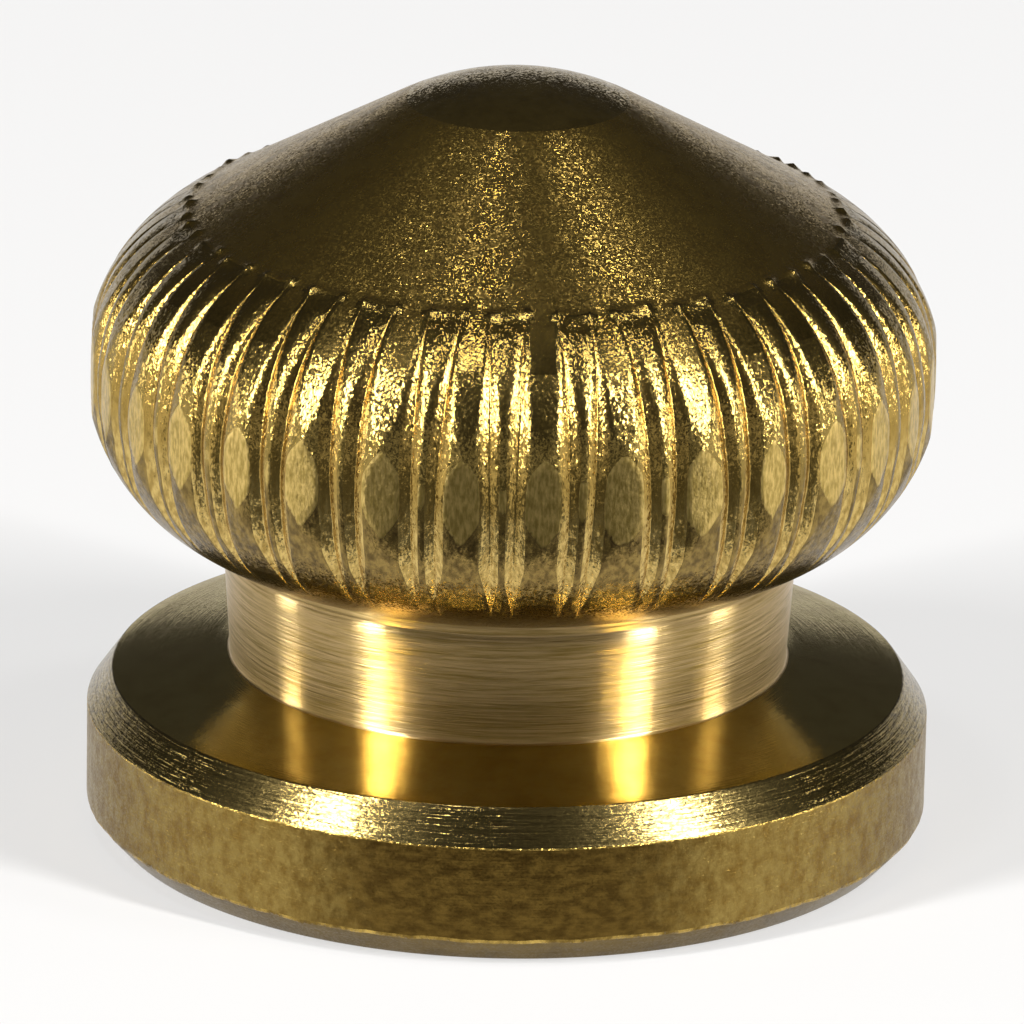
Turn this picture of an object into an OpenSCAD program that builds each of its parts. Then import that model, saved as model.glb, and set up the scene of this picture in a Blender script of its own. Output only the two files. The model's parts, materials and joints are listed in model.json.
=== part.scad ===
// Knurled knob, turned from one piece of round brass bar.
// The axis is +Z and the origin is the centre of the flat base.
// A chamfered flange carries a short flared neck and a round-edged head with a conical top.
// The rim of the head is pressed with paired grooves, and its crest is skimmed to one diameter.

/* [Flange] */
// Diameter of the flange, which keeps the bar's own surface
flange_dia = 12.7; // [11.5:0.1:14]
// Height of the straight side above the base, lower chamfer included
side_h = 1.85; // [1.2:0.05:3]
// Width of the chamfer round the base
base_chamfer_w = 0.37; // [0.1:0.01:0.6]
// Height of the chamfer round the base
base_chamfer_h = 0.4; // [0.1:0.01:0.8]
// Width of the chamfer round the rim
rim_chamfer_w = 0.37; // [0.1:0.01:0.6]
// Height of the chamfer round the rim
rim_chamfer_h = 0.52; // [0.1:0.01:0.8]
// Rise of the coned upper face from the rim to the neck
face_rise = 0.32; // [0.05:0.01:0.6]

/* [Neck] */
// Diameter of the neck where it stands on the flange
neck_foot_dia = 8.4; // [7:0.1:9]
// Diameter of the neck where it meets the head
neck_head_dia = 8.65; // [7.6:0.05:9.5]

/* [Head] */
// Height of the widest line of the head above the base
crest_h = 7.17; // [6.8:0.01:8]
// Diameter of the ring on which the round edge is centred
edge_ring_dia = 7.5; // [7:0.1:8]
// Radius of the round edge
edge_r = 2.65; // [2.3:0.05:2.8]
// Diameter to which the crest is skimmed after knurling
crest_dia = 12.65; // [12:0.01:12.8]
// Slope of the conical top
cone_angle = 29; // [20:0.5:35]
// Radius of the round nose
nose_r = 4.05; // [2:0.05:6]

/* [Knurl] */
// Ridges round the head
ridge_count = 33; // [24:1:40]
// Depth of the grooves at their middle, below the round edge
groove_depth = 0.165; // [0.1:0.005:0.3]
// Distance between the two grooves of a pair
pair_gap = 0.39; // [0.3:0.01:0.5]
// Width of the flat top of the sliver left standing between the two grooves
sliver_w = 0.1; // [0.04:0.01:0.2]
// Height of that sliver above the bottom of the grooves
sliver_h = 0.08; // [0.04:0.005:0.12]
// Width of a groove's outer wall
wall_w = 0.16; // [0.1:0.01:0.2]
// Height of a groove's outer wall
wall_h = 0.095; // [0.05:0.005:0.15]
// Slope of the flank that leads from the outer wall to the ridge
flank_angle = 13; // [5:1:25]
// Angle round the edge from the middle of a groove to each of its ends
runout_angle = 66; // [50:1:70]
// Angle by which the grooves sit lower than the widest line
knurl_drop_angle = 3; // [0:0.5:5]
// Angle round the axis at which the first pair of grooves lies
knurl_start_angle = -3.8; // [-5.4:0.1:5.4]

/* [Thread] */
// Diameter of the tapped hole's wall
thread_wall_dia = 3.45; // [2.5:0.05:5]
// Height to which the tapped hole's wall reaches above the base
thread_depth = 6.5; // [4:0.1:7]
// Diameter of the countersink at the base
countersink_dia = 4.4; // [3.5:0.1:6]
// Full angle of the drilled point above the thread
drill_point_angle = 118; // [90:1:140]

/* [Hidden] */

// How far a cut runs past the surface that it starts from
overrun = 0.1;
// Sides of a round shape where it is drawn as a mesh
$fn = 180;

flange_r = flange_dia / 2;
rim_h = side_h + rim_chamfer_h;
neck_foot_h = rim_h + face_rise;

// The round edge is an arc about a ring, and the neck runs into its lower side.
edge_ring_r = edge_ring_dia / 2;
neck_head_r = neck_head_dia / 2;
neck_head_h = crest_h - sqrt(edge_r * edge_r - pow(neck_head_r - edge_ring_r, 2));

// The cone touches the round edge at its foot and the nose near the tip.
cone_foot_r = edge_ring_r + edge_r * sin(cone_angle);
cone_foot_h = crest_h + edge_r * cos(cone_angle);
cone_tip_h = cone_foot_h + cone_foot_r * tan(cone_angle);
nose_centre_h = cone_tip_h - nose_r / cos(cone_angle);
nose_edge_r = nose_r * sin(cone_angle);
nose_edge_h = nose_centre_h + nose_r * cos(cone_angle);

// The grooves follow a flatter arc than the round edge, so they fade out at both ends.
// The shift of its centre makes the two arcs cross at the runout angle.
sweep_shift = groove_depth * (2 * edge_r - groove_depth)
    / (2 * (edge_r * (1 - cos(runout_angle)) - groove_depth));
sweep_r = edge_r - groove_depth + sweep_shift;

// Flanks of neighbouring pairs meet in a ridge halfway between them.
half_pitch = (edge_ring_r + edge_r) * tan(180 / ridge_count);
sliver_end = sliver_w / 2;
groove_at = pair_gap / 2;
wall_end = groove_at + wall_w;
flank_end = half_pitch + overrun;
flank_h = wall_h + (flank_end - wall_end) * tan(flank_angle);
cutter_h = max(groove_depth, flank_h) + overrun;

// Half section of the flange, the neck and the inside of the head
module core_section()
{
    polygon([
        [0, 0],
        [flange_r - base_chamfer_w, 0],
        [flange_r, base_chamfer_h],
        [flange_r, side_h],
        [flange_r - rim_chamfer_w, rim_h],
        [neck_foot_dia / 2, neck_foot_h],
        [neck_head_r, neck_head_h + overrun],
        [cone_foot_r, cone_foot_h],
        [nose_edge_r, nose_edge_h],
        [0, nose_edge_h],
    ]);
}

// Half section of the round edge, cut off straight at the skimmed crest
module edge_section()
{
    intersection() {
        translate([edge_ring_r, crest_h])
            circle(r = edge_r);
        translate([edge_ring_r, 0])
            square([crest_dia / 2 - edge_ring_r, cone_tip_h]);
    }
}

// Half section of the round nose
module nose_section()
{
    intersection() {
        translate([0, nose_centre_h])
            circle(r = nose_r);
        translate([0, nose_edge_h - overrun])
            square([nose_edge_r, nose_r]);
    }
}

// One pair of grooves, swept over the round edge at the +X side of the head
module groove_pair()
{
    translate([edge_ring_r, 0, crest_h])
        rotate([90, knurl_drop_angle, 0])
            translate([-sweep_shift, 0, 0])
                rotate_extrude(angle = 2 * runout_angle, start = -runout_angle)
                    polygon([
                        [sweep_r + sliver_h, -sliver_end],
                        [sweep_r + sliver_h, sliver_end],
                        [sweep_r, groove_at],
                        [sweep_r + wall_h, wall_end],
                        [sweep_r + flank_h, flank_end],
                        [sweep_r + cutter_h, flank_end],
                        [sweep_r + cutter_h, -flank_end],
                        [sweep_r + flank_h, -flank_end],
                        [sweep_r + wall_h, -wall_end],
                        [sweep_r, -groove_at],
                    ]);
}

// Blind hole for the screw, with a countersunk mouth and a drilled end
module tapped_hole()
{
    wall_r = thread_wall_dia / 2;
    mouth_r = countersink_dia / 2;
    translate([0, 0, -overrun])
        cylinder(r = wall_r, h = thread_depth + overrun);
    translate([0, 0, thread_depth])
        cylinder(r1 = wall_r, r2 = 0, h = wall_r / tan(drill_point_angle / 2));
    translate([0, 0, -overrun])
        cylinder(r1 = mouth_r + overrun, r2 = wall_r, h = mouth_r - wall_r + overrun);
}

module knob()
{
    color("goldenrod")
        difference() {
            rotate_extrude()
                union() {
                    core_section();
                    edge_section();
                    nose_section();
                }
            for (turn = [0 : ridge_count - 1])
                rotate([0, 0, knurl_start_angle + turn * 360 / ridge_count])
                    groove_pair();
            tapped_hole();
        }
}

knob();
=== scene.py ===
"""Turned brass knob with a knurled head, built as one closed mesh and set on a pale studio floor.

Sizes in the classes are millimetres and degrees. Meshes, lamps and the camera are in metres, in the part's own
frame: the origin is the centre of the base, and +Z runs along the turning axis to the nose of the head.
"""

import json
import logging
import math
from dataclasses import dataclass
from enum import Enum
from typing import Any

import bpy
import numpy as np
from mathutils import Matrix, Vector


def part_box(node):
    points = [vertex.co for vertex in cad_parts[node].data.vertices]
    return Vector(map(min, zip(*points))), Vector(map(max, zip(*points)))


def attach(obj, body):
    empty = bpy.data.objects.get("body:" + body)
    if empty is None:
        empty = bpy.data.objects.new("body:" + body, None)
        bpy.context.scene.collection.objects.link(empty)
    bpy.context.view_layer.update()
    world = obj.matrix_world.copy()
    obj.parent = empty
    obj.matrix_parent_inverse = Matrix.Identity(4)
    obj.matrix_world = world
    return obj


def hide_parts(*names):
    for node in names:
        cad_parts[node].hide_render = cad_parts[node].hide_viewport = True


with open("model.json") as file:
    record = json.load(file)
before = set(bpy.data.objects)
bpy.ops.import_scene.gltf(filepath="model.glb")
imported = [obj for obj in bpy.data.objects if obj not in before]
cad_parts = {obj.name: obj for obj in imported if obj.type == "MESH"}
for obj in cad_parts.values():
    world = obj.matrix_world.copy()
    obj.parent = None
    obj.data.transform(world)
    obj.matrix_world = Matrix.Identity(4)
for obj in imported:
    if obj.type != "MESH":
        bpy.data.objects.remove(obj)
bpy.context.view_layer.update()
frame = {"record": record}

LOG = logging.getLogger("knob")
MM = 0.001
FRONT = (0.0, -1.0, 0.0)


def linear(hex_colour: str) -> tuple[float, float, float, float]:
    """Turn an sRGB hex colour into linear light.

    Args:
        hex_colour: The colour, written as "#RRGGBB".

    Returns:
        Linear red, green and blue, and an alpha of one.
    """
    shares = [int(hex_colour[i : i + 2], 16) / 255 for i in (1, 3, 5)]
    red, green, blue = (s / 12.92 if s <= 0.04045 else ((s + 0.055) / 1.055) ** 2.4 for s in shares)
    return red, green, blue, 1.0


def add_node(
    tree: bpy.types.NodeTree,
    kind: str,
    settings: dict[str, Any] | None = None,
    inputs: dict[str | int, Any] | None = None,
) -> bpy.types.Node:
    """Add a node with its settings and links.

    Args:
        tree: The node tree that takes the node.
        kind: Blender's name for the node type.
        settings: Properties to set on the node.
        inputs: Value, or socket to link from, for each input named or numbered.

    Returns:
        The new node.
    """
    node = tree.nodes.new(kind)
    for name, value in (settings or {}).items():
        setattr(node, name, value)
    for name, value in (inputs or {}).items():
        if isinstance(value, bpy.types.NodeSocket):
            tree.links.new(value, node.inputs[name])
        else:
            node.inputs[name].default_value = value
    return node


def new_material(name: str) -> tuple[bpy.types.Material, bpy.types.NodeTree]:
    """Start an empty node material.

    Args:
        name: Name of the material.

    Returns:
        The material and its node tree, with no nodes in it.
    """
    material = bpy.data.materials.new(name)
    material.use_nodes = True
    material.node_tree.nodes.clear()
    return material, material.node_tree


class Zone(Enum):
    """Stretches of the knob's skin that were finished in different ways."""

    THREAD = "thread"
    BASE = "base"
    BASE_CHAMFER = "base chamfer"
    EDGE = "edge"
    SIDE = "side"
    RIM = "rim"
    FACE = "face"
    NECK = "neck"
    CROWN = "pressed ridge"
    GROOVE = "pressed groove"
    UNDERSIDE = "underside of the head"
    CONE = "cone"
    NOSE = "nose"


class Run(Enum):
    """Ways that a tool's lines run over the turned skin."""

    ROUND_WALL = "round an upright wall"
    ROUND_FACE = "round a face or a cone"
    ALONG_AXIS = "along the turning axis"


@dataclass(frozen=True)
class ToolLines:
    """Fine lines that a tool or a die left in the metal, in mm.

    Attributes:
        run: The way that the lines run.
        across: Mean spacing of the lines.
        along: Mean length of a line.
        depth: Depth of the lines.
    """

    run: Run
    across: float
    along: float
    depth: float


class Measure(Enum):
    """Measures over which a finish can change."""

    HEIGHT = "height above the base"
    RADIUS = "distance from the axis"
    FRONT = "cosine of the angle from the front"


@dataclass(frozen=True)
class Change:
    """How a finish gives way to another on the same skin.

    Attributes:
        measure: Measure that it changes over.
        start: Value of the measure where it starts to change, in mm or as a cosine.
        full: Value where it has changed.
        colour: Colour then.
        dull: Colour of the streaks in it.
        roughness: Roughness then.
        tilt_share: Share of the facets' tilt that is left then.
        streak: Width and height of the streaks, in mm.
        ragged: How far the patches make its edge wander, in the same unit.
    """

    measure: Measure
    start: float
    full: float
    colour: str
    dull: str
    roughness: float
    tilt_share: float
    streak: tuple[float, float] = (0.05, 0.25)
    ragged: float = 0.0


@dataclass(frozen=True)
class BrassFinish:
    """Free-cutting brass, as one way of working left it. A metal, so its IOR stays at the default.

    Attributes:
        name: What the surface is and how it was made.
        bright: Colour of the clean metal.
        dull: Colour where it is smeared or tarnished.
        dull_share: Share of the surface that is dull.
        patch: Width of the dull patches, in mm.
        patch_h: Height of the dull patches, in mm.
        roughness: Roughness of the clean metal.
        dull_roughness: Roughness of the dull patches.
        stretch: How far highlights are drawn out across the turning lines, from 0 to 1.
        lines: Lines that tools left.
        grain: Size of the soft unevenness under the lines, in mm.
        grain_depth: Depth of that unevenness, in mm.
        facet: Width of the small torn or pressed facets that sparkle, in mm.
        facet_h: Height of a facet, in mm.
        facet_tilt: Most that a facet is tipped, in degrees.
        round_share: Share of that tip that a facet has round the axis.
        changes: Where and how the finish gives way to others.
    """

    name: str
    bright: str = "#D2B066"
    dull: str = "#A98A4C"
    dull_share: float = 0.4
    patch: float = 0.5
    patch_h: float = 0.5
    roughness: float = 0.22
    dull_roughness: float = 0.3
    stretch: float = 0.0
    lines: tuple[ToolLines, ...] = ()
    grain: float = 0.06
    grain_depth: float = 0.003
    facet: float = 0.03
    facet_h: float = 0.03
    facet_tilt: float = 2.0
    round_share: float = 1.0
    changes: tuple[Change, ...] = ()

    # Levels of the pattern between which a patch turns dull, for a dull share of nought, and a streak shows.
    DULL_LEVELS = (0.55, 0.95)
    STREAK_LEVELS = (0.3, 0.7)
    # Turn that draws a highlight out up the slope, across the turning lines, in whole turns.
    ACROSS_LINES = 0.25

    def material(self) -> bpy.types.Material:
        """Build the node material.

        Returns:
            The material.
        """
        material, tree = new_material(self.name)
        place = add_node(
            tree,
            "ShaderNodeVectorMath",
            {"operation": "SCALE"},
            {0: add_node(tree, "ShaderNodeTexCoord").outputs["Object"], "Scale": 1 / MM},
        ).outputs[0]
        axes = add_node(tree, "ShaderNodeSeparateXYZ", {}, {0: place})
        patch_sizes = (self.patch, self.patch, self.patch_h)
        patches = self._pattern(tree, place, patch_sizes, detail=5.0, fineness=0.68)
        least, most = (level - self.dull_share / 2 for level in self.DULL_LEVELS)
        dullness = add_node(
            tree,
            "ShaderNodeMapRange",
            {"interpolation_type": "SMOOTHSTEP"},
            {"Value": patches, "From Min": least, "From Max": most},
        ).outputs[0]
        colour = add_node(
            tree,
            "ShaderNodeMixRGB",
            {},
            {"Fac": dullness, "Color1": linear(self.bright), "Color2": linear(self.dull)},
        ).outputs[0]
        roughness = add_node(
            tree,
            "ShaderNodeMapRange",
            {},
            {"Value": dullness, "To Min": self.roughness, "To Max": self.dull_roughness},
        ).outputs[0]
        # A facet's random colour runs half a unit either way, so the tilt is doubled.
        tilt: Any = 2 * math.tan(math.radians(self.facet_tilt))
        flat = add_node(
            tree, "ShaderNodeVectorMath", {"operation": "MULTIPLY"}, {0: place, 1: (1.0, 1.0, 0.0)}
        ).outputs[0]
        outwards = add_node(tree, "ShaderNodeVectorMath", {"operation": "NORMALIZE"}, {0: flat}).outputs[0]
        radius = add_node(tree, "ShaderNodeVectorMath", {"operation": "LENGTH"}, {0: flat}).outputs["Value"]
        front = add_node(
            tree, "ShaderNodeVectorMath", {"operation": "DOT_PRODUCT"}, {0: outwards, 1: FRONT}
        ).outputs["Value"]
        measures = {Measure.HEIGHT: axes.outputs["Z"], Measure.RADIUS: radius, Measure.FRONT: front}
        for change in self.changes:
            ragged = add_node(
                tree,
                "ShaderNodeMath",
                {"operation": "MULTIPLY_ADD"},
                {0: patches, 1: 2 * change.ragged, 2: measures[change.measure]},
            )
            changed = add_node(
                tree,
                "ShaderNodeMapRange",
                {"interpolation_type": "SMOOTHSTEP"},
                {
                    "Value": ragged.outputs[0],
                    "From Min": change.start + change.ragged,
                    "From Max": change.full + change.ragged,
                },
            ).outputs[0]
            wide, high = change.streak
            least, most = self.STREAK_LEVELS
            streaks = add_node(
                tree,
                "ShaderNodeMapRange",
                {"interpolation_type": "SMOOTHSTEP"},
                {
                    "Value": self._pattern(tree, place, (wide, wide, high), detail=3.0),
                    "From Min": least,
                    "From Max": most,
                },
            )
            tone = add_node(
                tree,
                "ShaderNodeMixRGB",
                {},
                {
                    "Fac": streaks.outputs[0],
                    "Color1": linear(change.colour),
                    "Color2": linear(change.dull),
                },
            )
            colour = add_node(
                tree, "ShaderNodeMixRGB", {}, {"Fac": changed, "Color1": colour, "Color2": tone.outputs[0]}
            ).outputs[0]
            roughness = add_node(
                tree, "ShaderNodeMix", {}, {"Factor": changed, "A": roughness, "B": change.roughness}
            ).outputs[0]
            left = add_node(
                tree, "ShaderNodeMapRange", {}, {"Value": changed, "To Min": 1.0, "To Max": change.tilt_share}
            )
            tilt = add_node(
                tree, "ShaderNodeMath", {"operation": "MULTIPLY"}, {0: tilt, 1: left.outputs[0]}
            ).outputs[0]
        metal = add_node(
            tree,
            "ShaderNodeBsdfPrincipled",
            {},
            {
                "Base Color": colour,
                "Metallic": 1.0,
                "Roughness": roughness,
                "Anisotropic": self.stretch,
                "Anisotropic Rotation": self.ACROSS_LINES,
                "Normal": self._relief(tree, place, axes, radius, tilt),
            },
        )
        if self.stretch:
            round_axis = add_node(tree, "ShaderNodeTangent", {"direction_type": "RADIAL", "axis": "Z"})
            tree.links.new(round_axis.outputs[0], metal.inputs["Tangent"])
        add_node(tree, "ShaderNodeOutputMaterial", {}, {"Surface": metal.outputs[0]})
        return material

    def _relief(
        self,
        tree: bpy.types.NodeTree,
        place: bpy.types.NodeSocket,
        axes: bpy.types.Node,
        radius: bpy.types.NodeSocket,
        tilt: Any,
    ) -> bpy.types.NodeSocket:
        """Lay the facets, the grain and the tool lines over the surface.

        Args:
            tree: The material's node tree.
            place: Position in mm.
            axes: Node that splits the position into X, Y and Z.
            radius: Distance from the axis in mm.
            tilt: How far the facets tip the normal, as a number or a socket.

        Returns:
            The bumped normal.
        """
        cells = add_node(
            tree,
            "ShaderNodeVectorMath",
            {"operation": "MULTIPLY"},
            {0: place, 1: (1 / self.facet, 1 / self.facet, 1 / self.facet_h)},
        )
        facets = add_node(
            tree, "ShaderNodeTexVoronoi", {"feature": "F1"}, {"Vector": cells.outputs[0], "Scale": 1.0}
        )
        centred = add_node(
            tree,
            "ShaderNodeVectorMath",
            {"operation": "SUBTRACT"},
            {0: facets.outputs["Color"], 1: (0.5, 0.5, 0.5)},
        )
        leaning = add_node(
            tree, "ShaderNodeVectorMath", {"operation": "SCALE"}, {0: centred.outputs[0], "Scale": tilt}
        )
        round_axis = add_node(tree, "ShaderNodeTangent", {"direction_type": "RADIAL", "axis": "Z"})
        sideways = add_node(
            tree,
            "ShaderNodeVectorMath",
            {"operation": "PROJECT"},
            {0: leaning.outputs[0], 1: round_axis.outputs[0]},
        )
        steadied = add_node(
            tree,
            "ShaderNodeVectorMath",
            {"operation": "MULTIPLY_ADD"},
            {0: sideways.outputs[0], 1: (self.round_share - 1,) * 3, 2: leaning.outputs[0]},
        )
        tipped = add_node(
            tree,
            "ShaderNodeVectorMath",
            {"operation": "ADD"},
            {0: add_node(tree, "ShaderNodeNewGeometry").outputs["Normal"], 1: steadied.outputs[0]},
        )
        normal = add_node(
            tree, "ShaderNodeVectorMath", {"operation": "NORMALIZE"}, {0: tipped.outputs[0]}
        ).outputs[0]
        normal = add_node(
            tree,
            "ShaderNodeBump",
            {},
            {
                "Height": self._pattern(tree, place, (self.grain,) * 3, detail=3.0),
                "Distance": self.grain_depth * MM,
                "Normal": normal,
            },
        ).outputs[0]
        for lines in self.lines:
            vector, sizes = place, (lines.along, lines.along, lines.across)
            if lines.run is Run.ALONG_AXIS:
                sizes = (lines.across, lines.across, lines.along)
            elif lines.run is Run.ROUND_FACE:
                vector = add_node(
                    tree,
                    "ShaderNodeCombineXYZ",
                    {},
                    {0: axes.outputs["X"], 1: axes.outputs["Y"], 2: radius},
                ).outputs[0]
            height = self._pattern(tree, vector, sizes, detail=2.0)
            normal = add_node(
                tree,
                "ShaderNodeBump",
                {},
                {"Height": height, "Distance": lines.depth * MM, "Normal": normal},
            ).outputs[0]
        return normal

    @staticmethod
    def _pattern(
        tree: bpy.types.NodeTree,
        vector: bpy.types.NodeSocket,
        sizes: tuple[float, ...],
        detail: float,
        fineness: float = 0.55,
    ) -> bpy.types.NodeSocket:
        """Lay an uneven pattern over the skin, with features of a given size.

        Args:
            tree: The material's node tree.
            vector: Position in mm.
            sizes: Size of the features along each axis, in mm.
            detail: Levels of finer features.
            fineness: Strength of each finer level, as a share of the one before.

        Returns:
            The pattern's value, about 0 to 1.
        """
        scale = tuple(1 / size for size in sizes)
        stretched = add_node(
            tree, "ShaderNodeVectorMath", {"operation": "MULTIPLY"}, {0: vector, 1: scale}
        )
        noise = add_node(
            tree,
            "ShaderNodeTexNoise",
            {},
            {"Vector": stretched.outputs[0], "Scale": 1.0, "Detail": detail, "Roughness": fineness},
        )
        return noise.outputs[0]


# Brass turned on a lathe shows rings that draw a highlight out into a streak up the slope. Brass that is
# pressed or torn sparkles in grains. The drawn skin of the bar is duller, and blotched by oxide.
# Grain and feed lines under about 0.03 mm are drawn that coarse, so that they show in the picture.
# Tool lines are given by the way that they run, their spacing, length and depth.

# A light skimming cut leaves small pale flats on the ridges, with fine upright scratches.
SKIMMED = Change(
    Measure.RADIUS,
    start=6.311,
    full=6.32,
    colour="#D8BA70",
    dull="#A48C4A",
    roughness=0.31,
    tilt_share=0.4,
    streak=(0.045, 0.16),
    ragged=0.006,
)
FINISHES: dict[Zone, BrassFinish] = {
    # A tap leaves rings round the wall, which glint one above the other.
    Zone.THREAD: BrassFinish(
        "brass_tapped_thread",
        roughness=0.24,
        lines=(ToolLines(Run.ROUND_WALL, 0.06, 1.5, 0.004),),
    ),
    # Facing on the lathe leaves fine rings, so the light spreads out from the hole.
    Zone.BASE: BrassFinish(
        "brass_faced_base",
        roughness=0.3,
        stretch=0.8,
        lines=(ToolLines(Run.ROUND_FACE, 0.09, 5.0, 0.004),),
    ),
    # A plain chamfer next to the floor, dull; its dark brown colour is painted shade next to the floor.
    Zone.BASE_CHAMFER: BrassFinish(
        "brass_turned_base_chamfer",
        bright="#725E30",
        dull="#5E4C26",
        roughness=0.32,
        stretch=0.4,
        lines=(ToolLines(Run.ROUND_FACE, 0.05, 2.0, 0.003),),
        facet_tilt=3.0,
    ),
    # The corner is torn rather than cut, and glints in a broken line.
    Zone.EDGE: BrassFinish(
        "brass_torn_edge",
        bright="#CCAC5A",
        dull="#6E5828",
        dull_share=0.55,
        patch=0.3,
        roughness=0.24,
        grain=0.05,
        grain_depth=0.012,
        facet=0.035,
        facet_tilt=12.0,
    ),
    # Drawn bar keeps lines from the die and a blotched brown oxide, so it shines dully; painted shade darkens
    # its front.
    Zone.SIDE: BrassFinish(
        "brass_drawn_bar_skin",
        bright="#968046",
        dull="#785E2A",
        dull_share=0.5,
        patch=0.22,
        patch_h=0.3,
        roughness=0.29,
        dull_roughness=0.38,
        lines=(
            ToolLines(Run.ALONG_AXIS, 0.07, 1.0, 0.003),
            ToolLines(Run.ROUND_WALL, 0.03, 0.5, 0.005),
        ),
        grain=0.04,
        grain_depth=0.005,
        facet=0.035,
        facet_tilt=6.0,
        changes=(
            # Painted shade: the side's colours darken towards the front, for the dark that the front mirrors.
            Change(
                Measure.FRONT,
                start=0.84,
                full=0.97,
                colour="#6A5426",
                dull="#4C3A18",
                roughness=0.36,
                tilt_share=1.0,
                streak=(0.25, 0.12),
                ragged=0.06,
            ),
        ),
    ),
    # The tool tore this chamfer, so it glitters in short level dashes between dark tears.
    Zone.RIM: BrassFinish(
        "brass_torn_rim_chamfer",
        bright="#9A8650",
        dull="#4E4024",
        patch=0.14,
        patch_h=0.04,
        roughness=0.18,
        dull_roughness=0.25,
        lines=(ToolLines(Run.ROUND_WALL, 0.04, 1.0, 0.011),),
        grain=0.03,
        grain_depth=0.001,
        facet=0.03,
        facet_h=0.018,
        facet_tilt=5.0,
        round_share=0.4,
    ),
    # A clean facing cut is nearly a mirror, and draws each light out towards the axis.
    Zone.FACE: BrassFinish(
        "brass_faced_flange_top",
        bright="#C6B168",
        dull="#B69E54",
        roughness=0.14,
        dull_roughness=0.16,
        stretch=0.9,
        lines=(ToolLines(Run.ROUND_FACE, 0.03, 1.0, 0.002),),
        facet_tilt=0.6,
        grain_depth=0.0005,
    ),
    # A clean turning cut is bright, and its level lines draw each light out into an upright streak.
    Zone.NECK: BrassFinish(
        "brass_turned_neck",
        bright="#CDB07C",
        dull="#A08848",
        patch=1.2,
        patch_h=0.05,
        roughness=0.29,
        dull_roughness=0.33,
        stretch=1.0,
        lines=(
            ToolLines(Run.ROUND_WALL, 0.05, 1.6, 0.011),
            ToolLines(Run.ROUND_WALL, 0.025, 0.8, 0.005),
        ),
        facet_tilt=0.4,
        grain_depth=0.0004,
    ),
    # Metal squeezed up beside the grooves is grained and sparkles above, and is smeared dull below, with
    # painted shade on its streaks.
    Zone.CROWN: BrassFinish(
        "brass_pressed_ridge",
        bright="#9C8448",
        dull="#7C6834",
        patch=0.2,
        patch_h=0.3,
        roughness=0.19,
        dull_roughness=0.25,
        lines=(ToolLines(Run.ALONG_AXIS, 0.04, 0.15, 0.003),),
        grain=0.09,
        grain_depth=0.008,
        facet=0.026,
        facet_h=0.04,
        facet_tilt=6.5,
        changes=(
            # Painted shade: the streaks turn darker towards the bottom of the head.
            Change(
                Measure.HEIGHT,
                start=7.5,
                full=6.5,
                colour="#9A824A",
                dull="#665430",
                roughness=0.27,
                tilt_share=0.7,
                streak=(0.1, 0.2),
                ragged=0.4,
            ),
            SKIMMED,
        ),
    ),
    # The wheel burnished the grooves, so they are brightest.
    Zone.GROOVE: BrassFinish(
        "brass_pressed_groove",
        bright="#B2944E",
        dull="#8C7238",
        patch=0.15,
        patch_h=0.35,
        roughness=0.18,
        dull_roughness=0.25,
        lines=(ToolLines(Run.ALONG_AXIS, 0.03, 0.2, 0.004),),
        grain=0.08,
        grain_depth=0.008,
        facet=0.026,
        facet_h=0.045,
        facet_tilt=6.5,
        changes=(
            Change(
                Measure.HEIGHT,
                start=7.3,
                full=6.5,
                colour="#D8BC74",
                dull="#A88C4C",
                roughness=0.22,
                tilt_share=0.8,
                streak=(0.06, 0.2),
                ragged=0.3,
            ),
            SKIMMED,
        ),
    ),
    # Turned and not pressed, it has a soft shine; its dark brown colour is painted shade under the head.
    Zone.UNDERSIDE: BrassFinish(
        "brass_turned_head_underside",
        bright="#8C7540",
        dull="#74602F",
        patch=0.4,
        roughness=0.2,
        dull_roughness=0.24,
        stretch=0.3,
        lines=(ToolLines(Run.ROUND_WALL, 0.045, 0.5, 0.004),),
        facet_tilt=3.5,
    ),
    # A coarse feed tore the metal, so it sparkles finely wherever it mirrors a light.
    Zone.CONE: BrassFinish(
        "brass_coarse_turned_cone",
        bright="#B4964C",
        dull="#8C7238",
        patch=0.3,
        roughness=0.25,
        dull_roughness=0.3,
        stretch=0.4,
        lines=(ToolLines(Run.ROUND_FACE, 0.035, 0.3, 0.004),),
        grain=0.032,
        grain_depth=0.0009,
        facet=0.024,
        facet_h=0.018,
        facet_tilt=13.0,
        round_share=0.25,
        changes=(
            Change(
                Measure.HEIGHT,
                start=9.7,
                full=8.95,
                colour="#9C8448",
                dull="#7C6834",
                roughness=0.2,
                tilt_share=0.5,
                streak=(0.05, 0.12),
                ragged=0.3,
            ),
        ),
    ),
    # A last fine cut left it smooth, so it mirrors the dim room without a sparkle.
    Zone.NOSE: BrassFinish(
        "brass_smooth_turned_nose",
        bright="#B49A58",
        dull="#8C7640",
        patch=0.3,
        roughness=0.17,
        dull_roughness=0.22,
        stretch=0.4,
        lines=(ToolLines(Run.ROUND_FACE, 0.05, 0.3, 0.003),),
        grain_depth=0.003,
        facet_tilt=5.0,
    ),
}


@dataclass
class Ring:
    """One ring of mesh points round the axis.

    Attributes:
        points: Positions in mm, counter-clockwise seen from above.
        zone: Finish of the band from this ring to the next.
        marks: Finish at each point, where that differs round the ring. A face takes it if its corners agree.
    """

    points: np.ndarray
    zone: Zone
    marks: np.ndarray | None = None


@dataclass
class Corner:
    """Corner of the turned outline, in mm.

    Attributes:
        radius: Distance from the axis.
        height: Height above the base.
        blend: Radius that breaks the corner, or 0.
        rows: Rows of mesh on the straight run to the next corner.
        zone: Finish of that run.
        edge: Finish of the broken corner itself.
    """

    radius: float
    height: float
    blend: float
    rows: int
    zone: Zone
    edge: Zone | None = None

    def place(self) -> Vector:
        """Give the corner as a point of the outline."""
        return Vector((self.radius, self.height))


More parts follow.
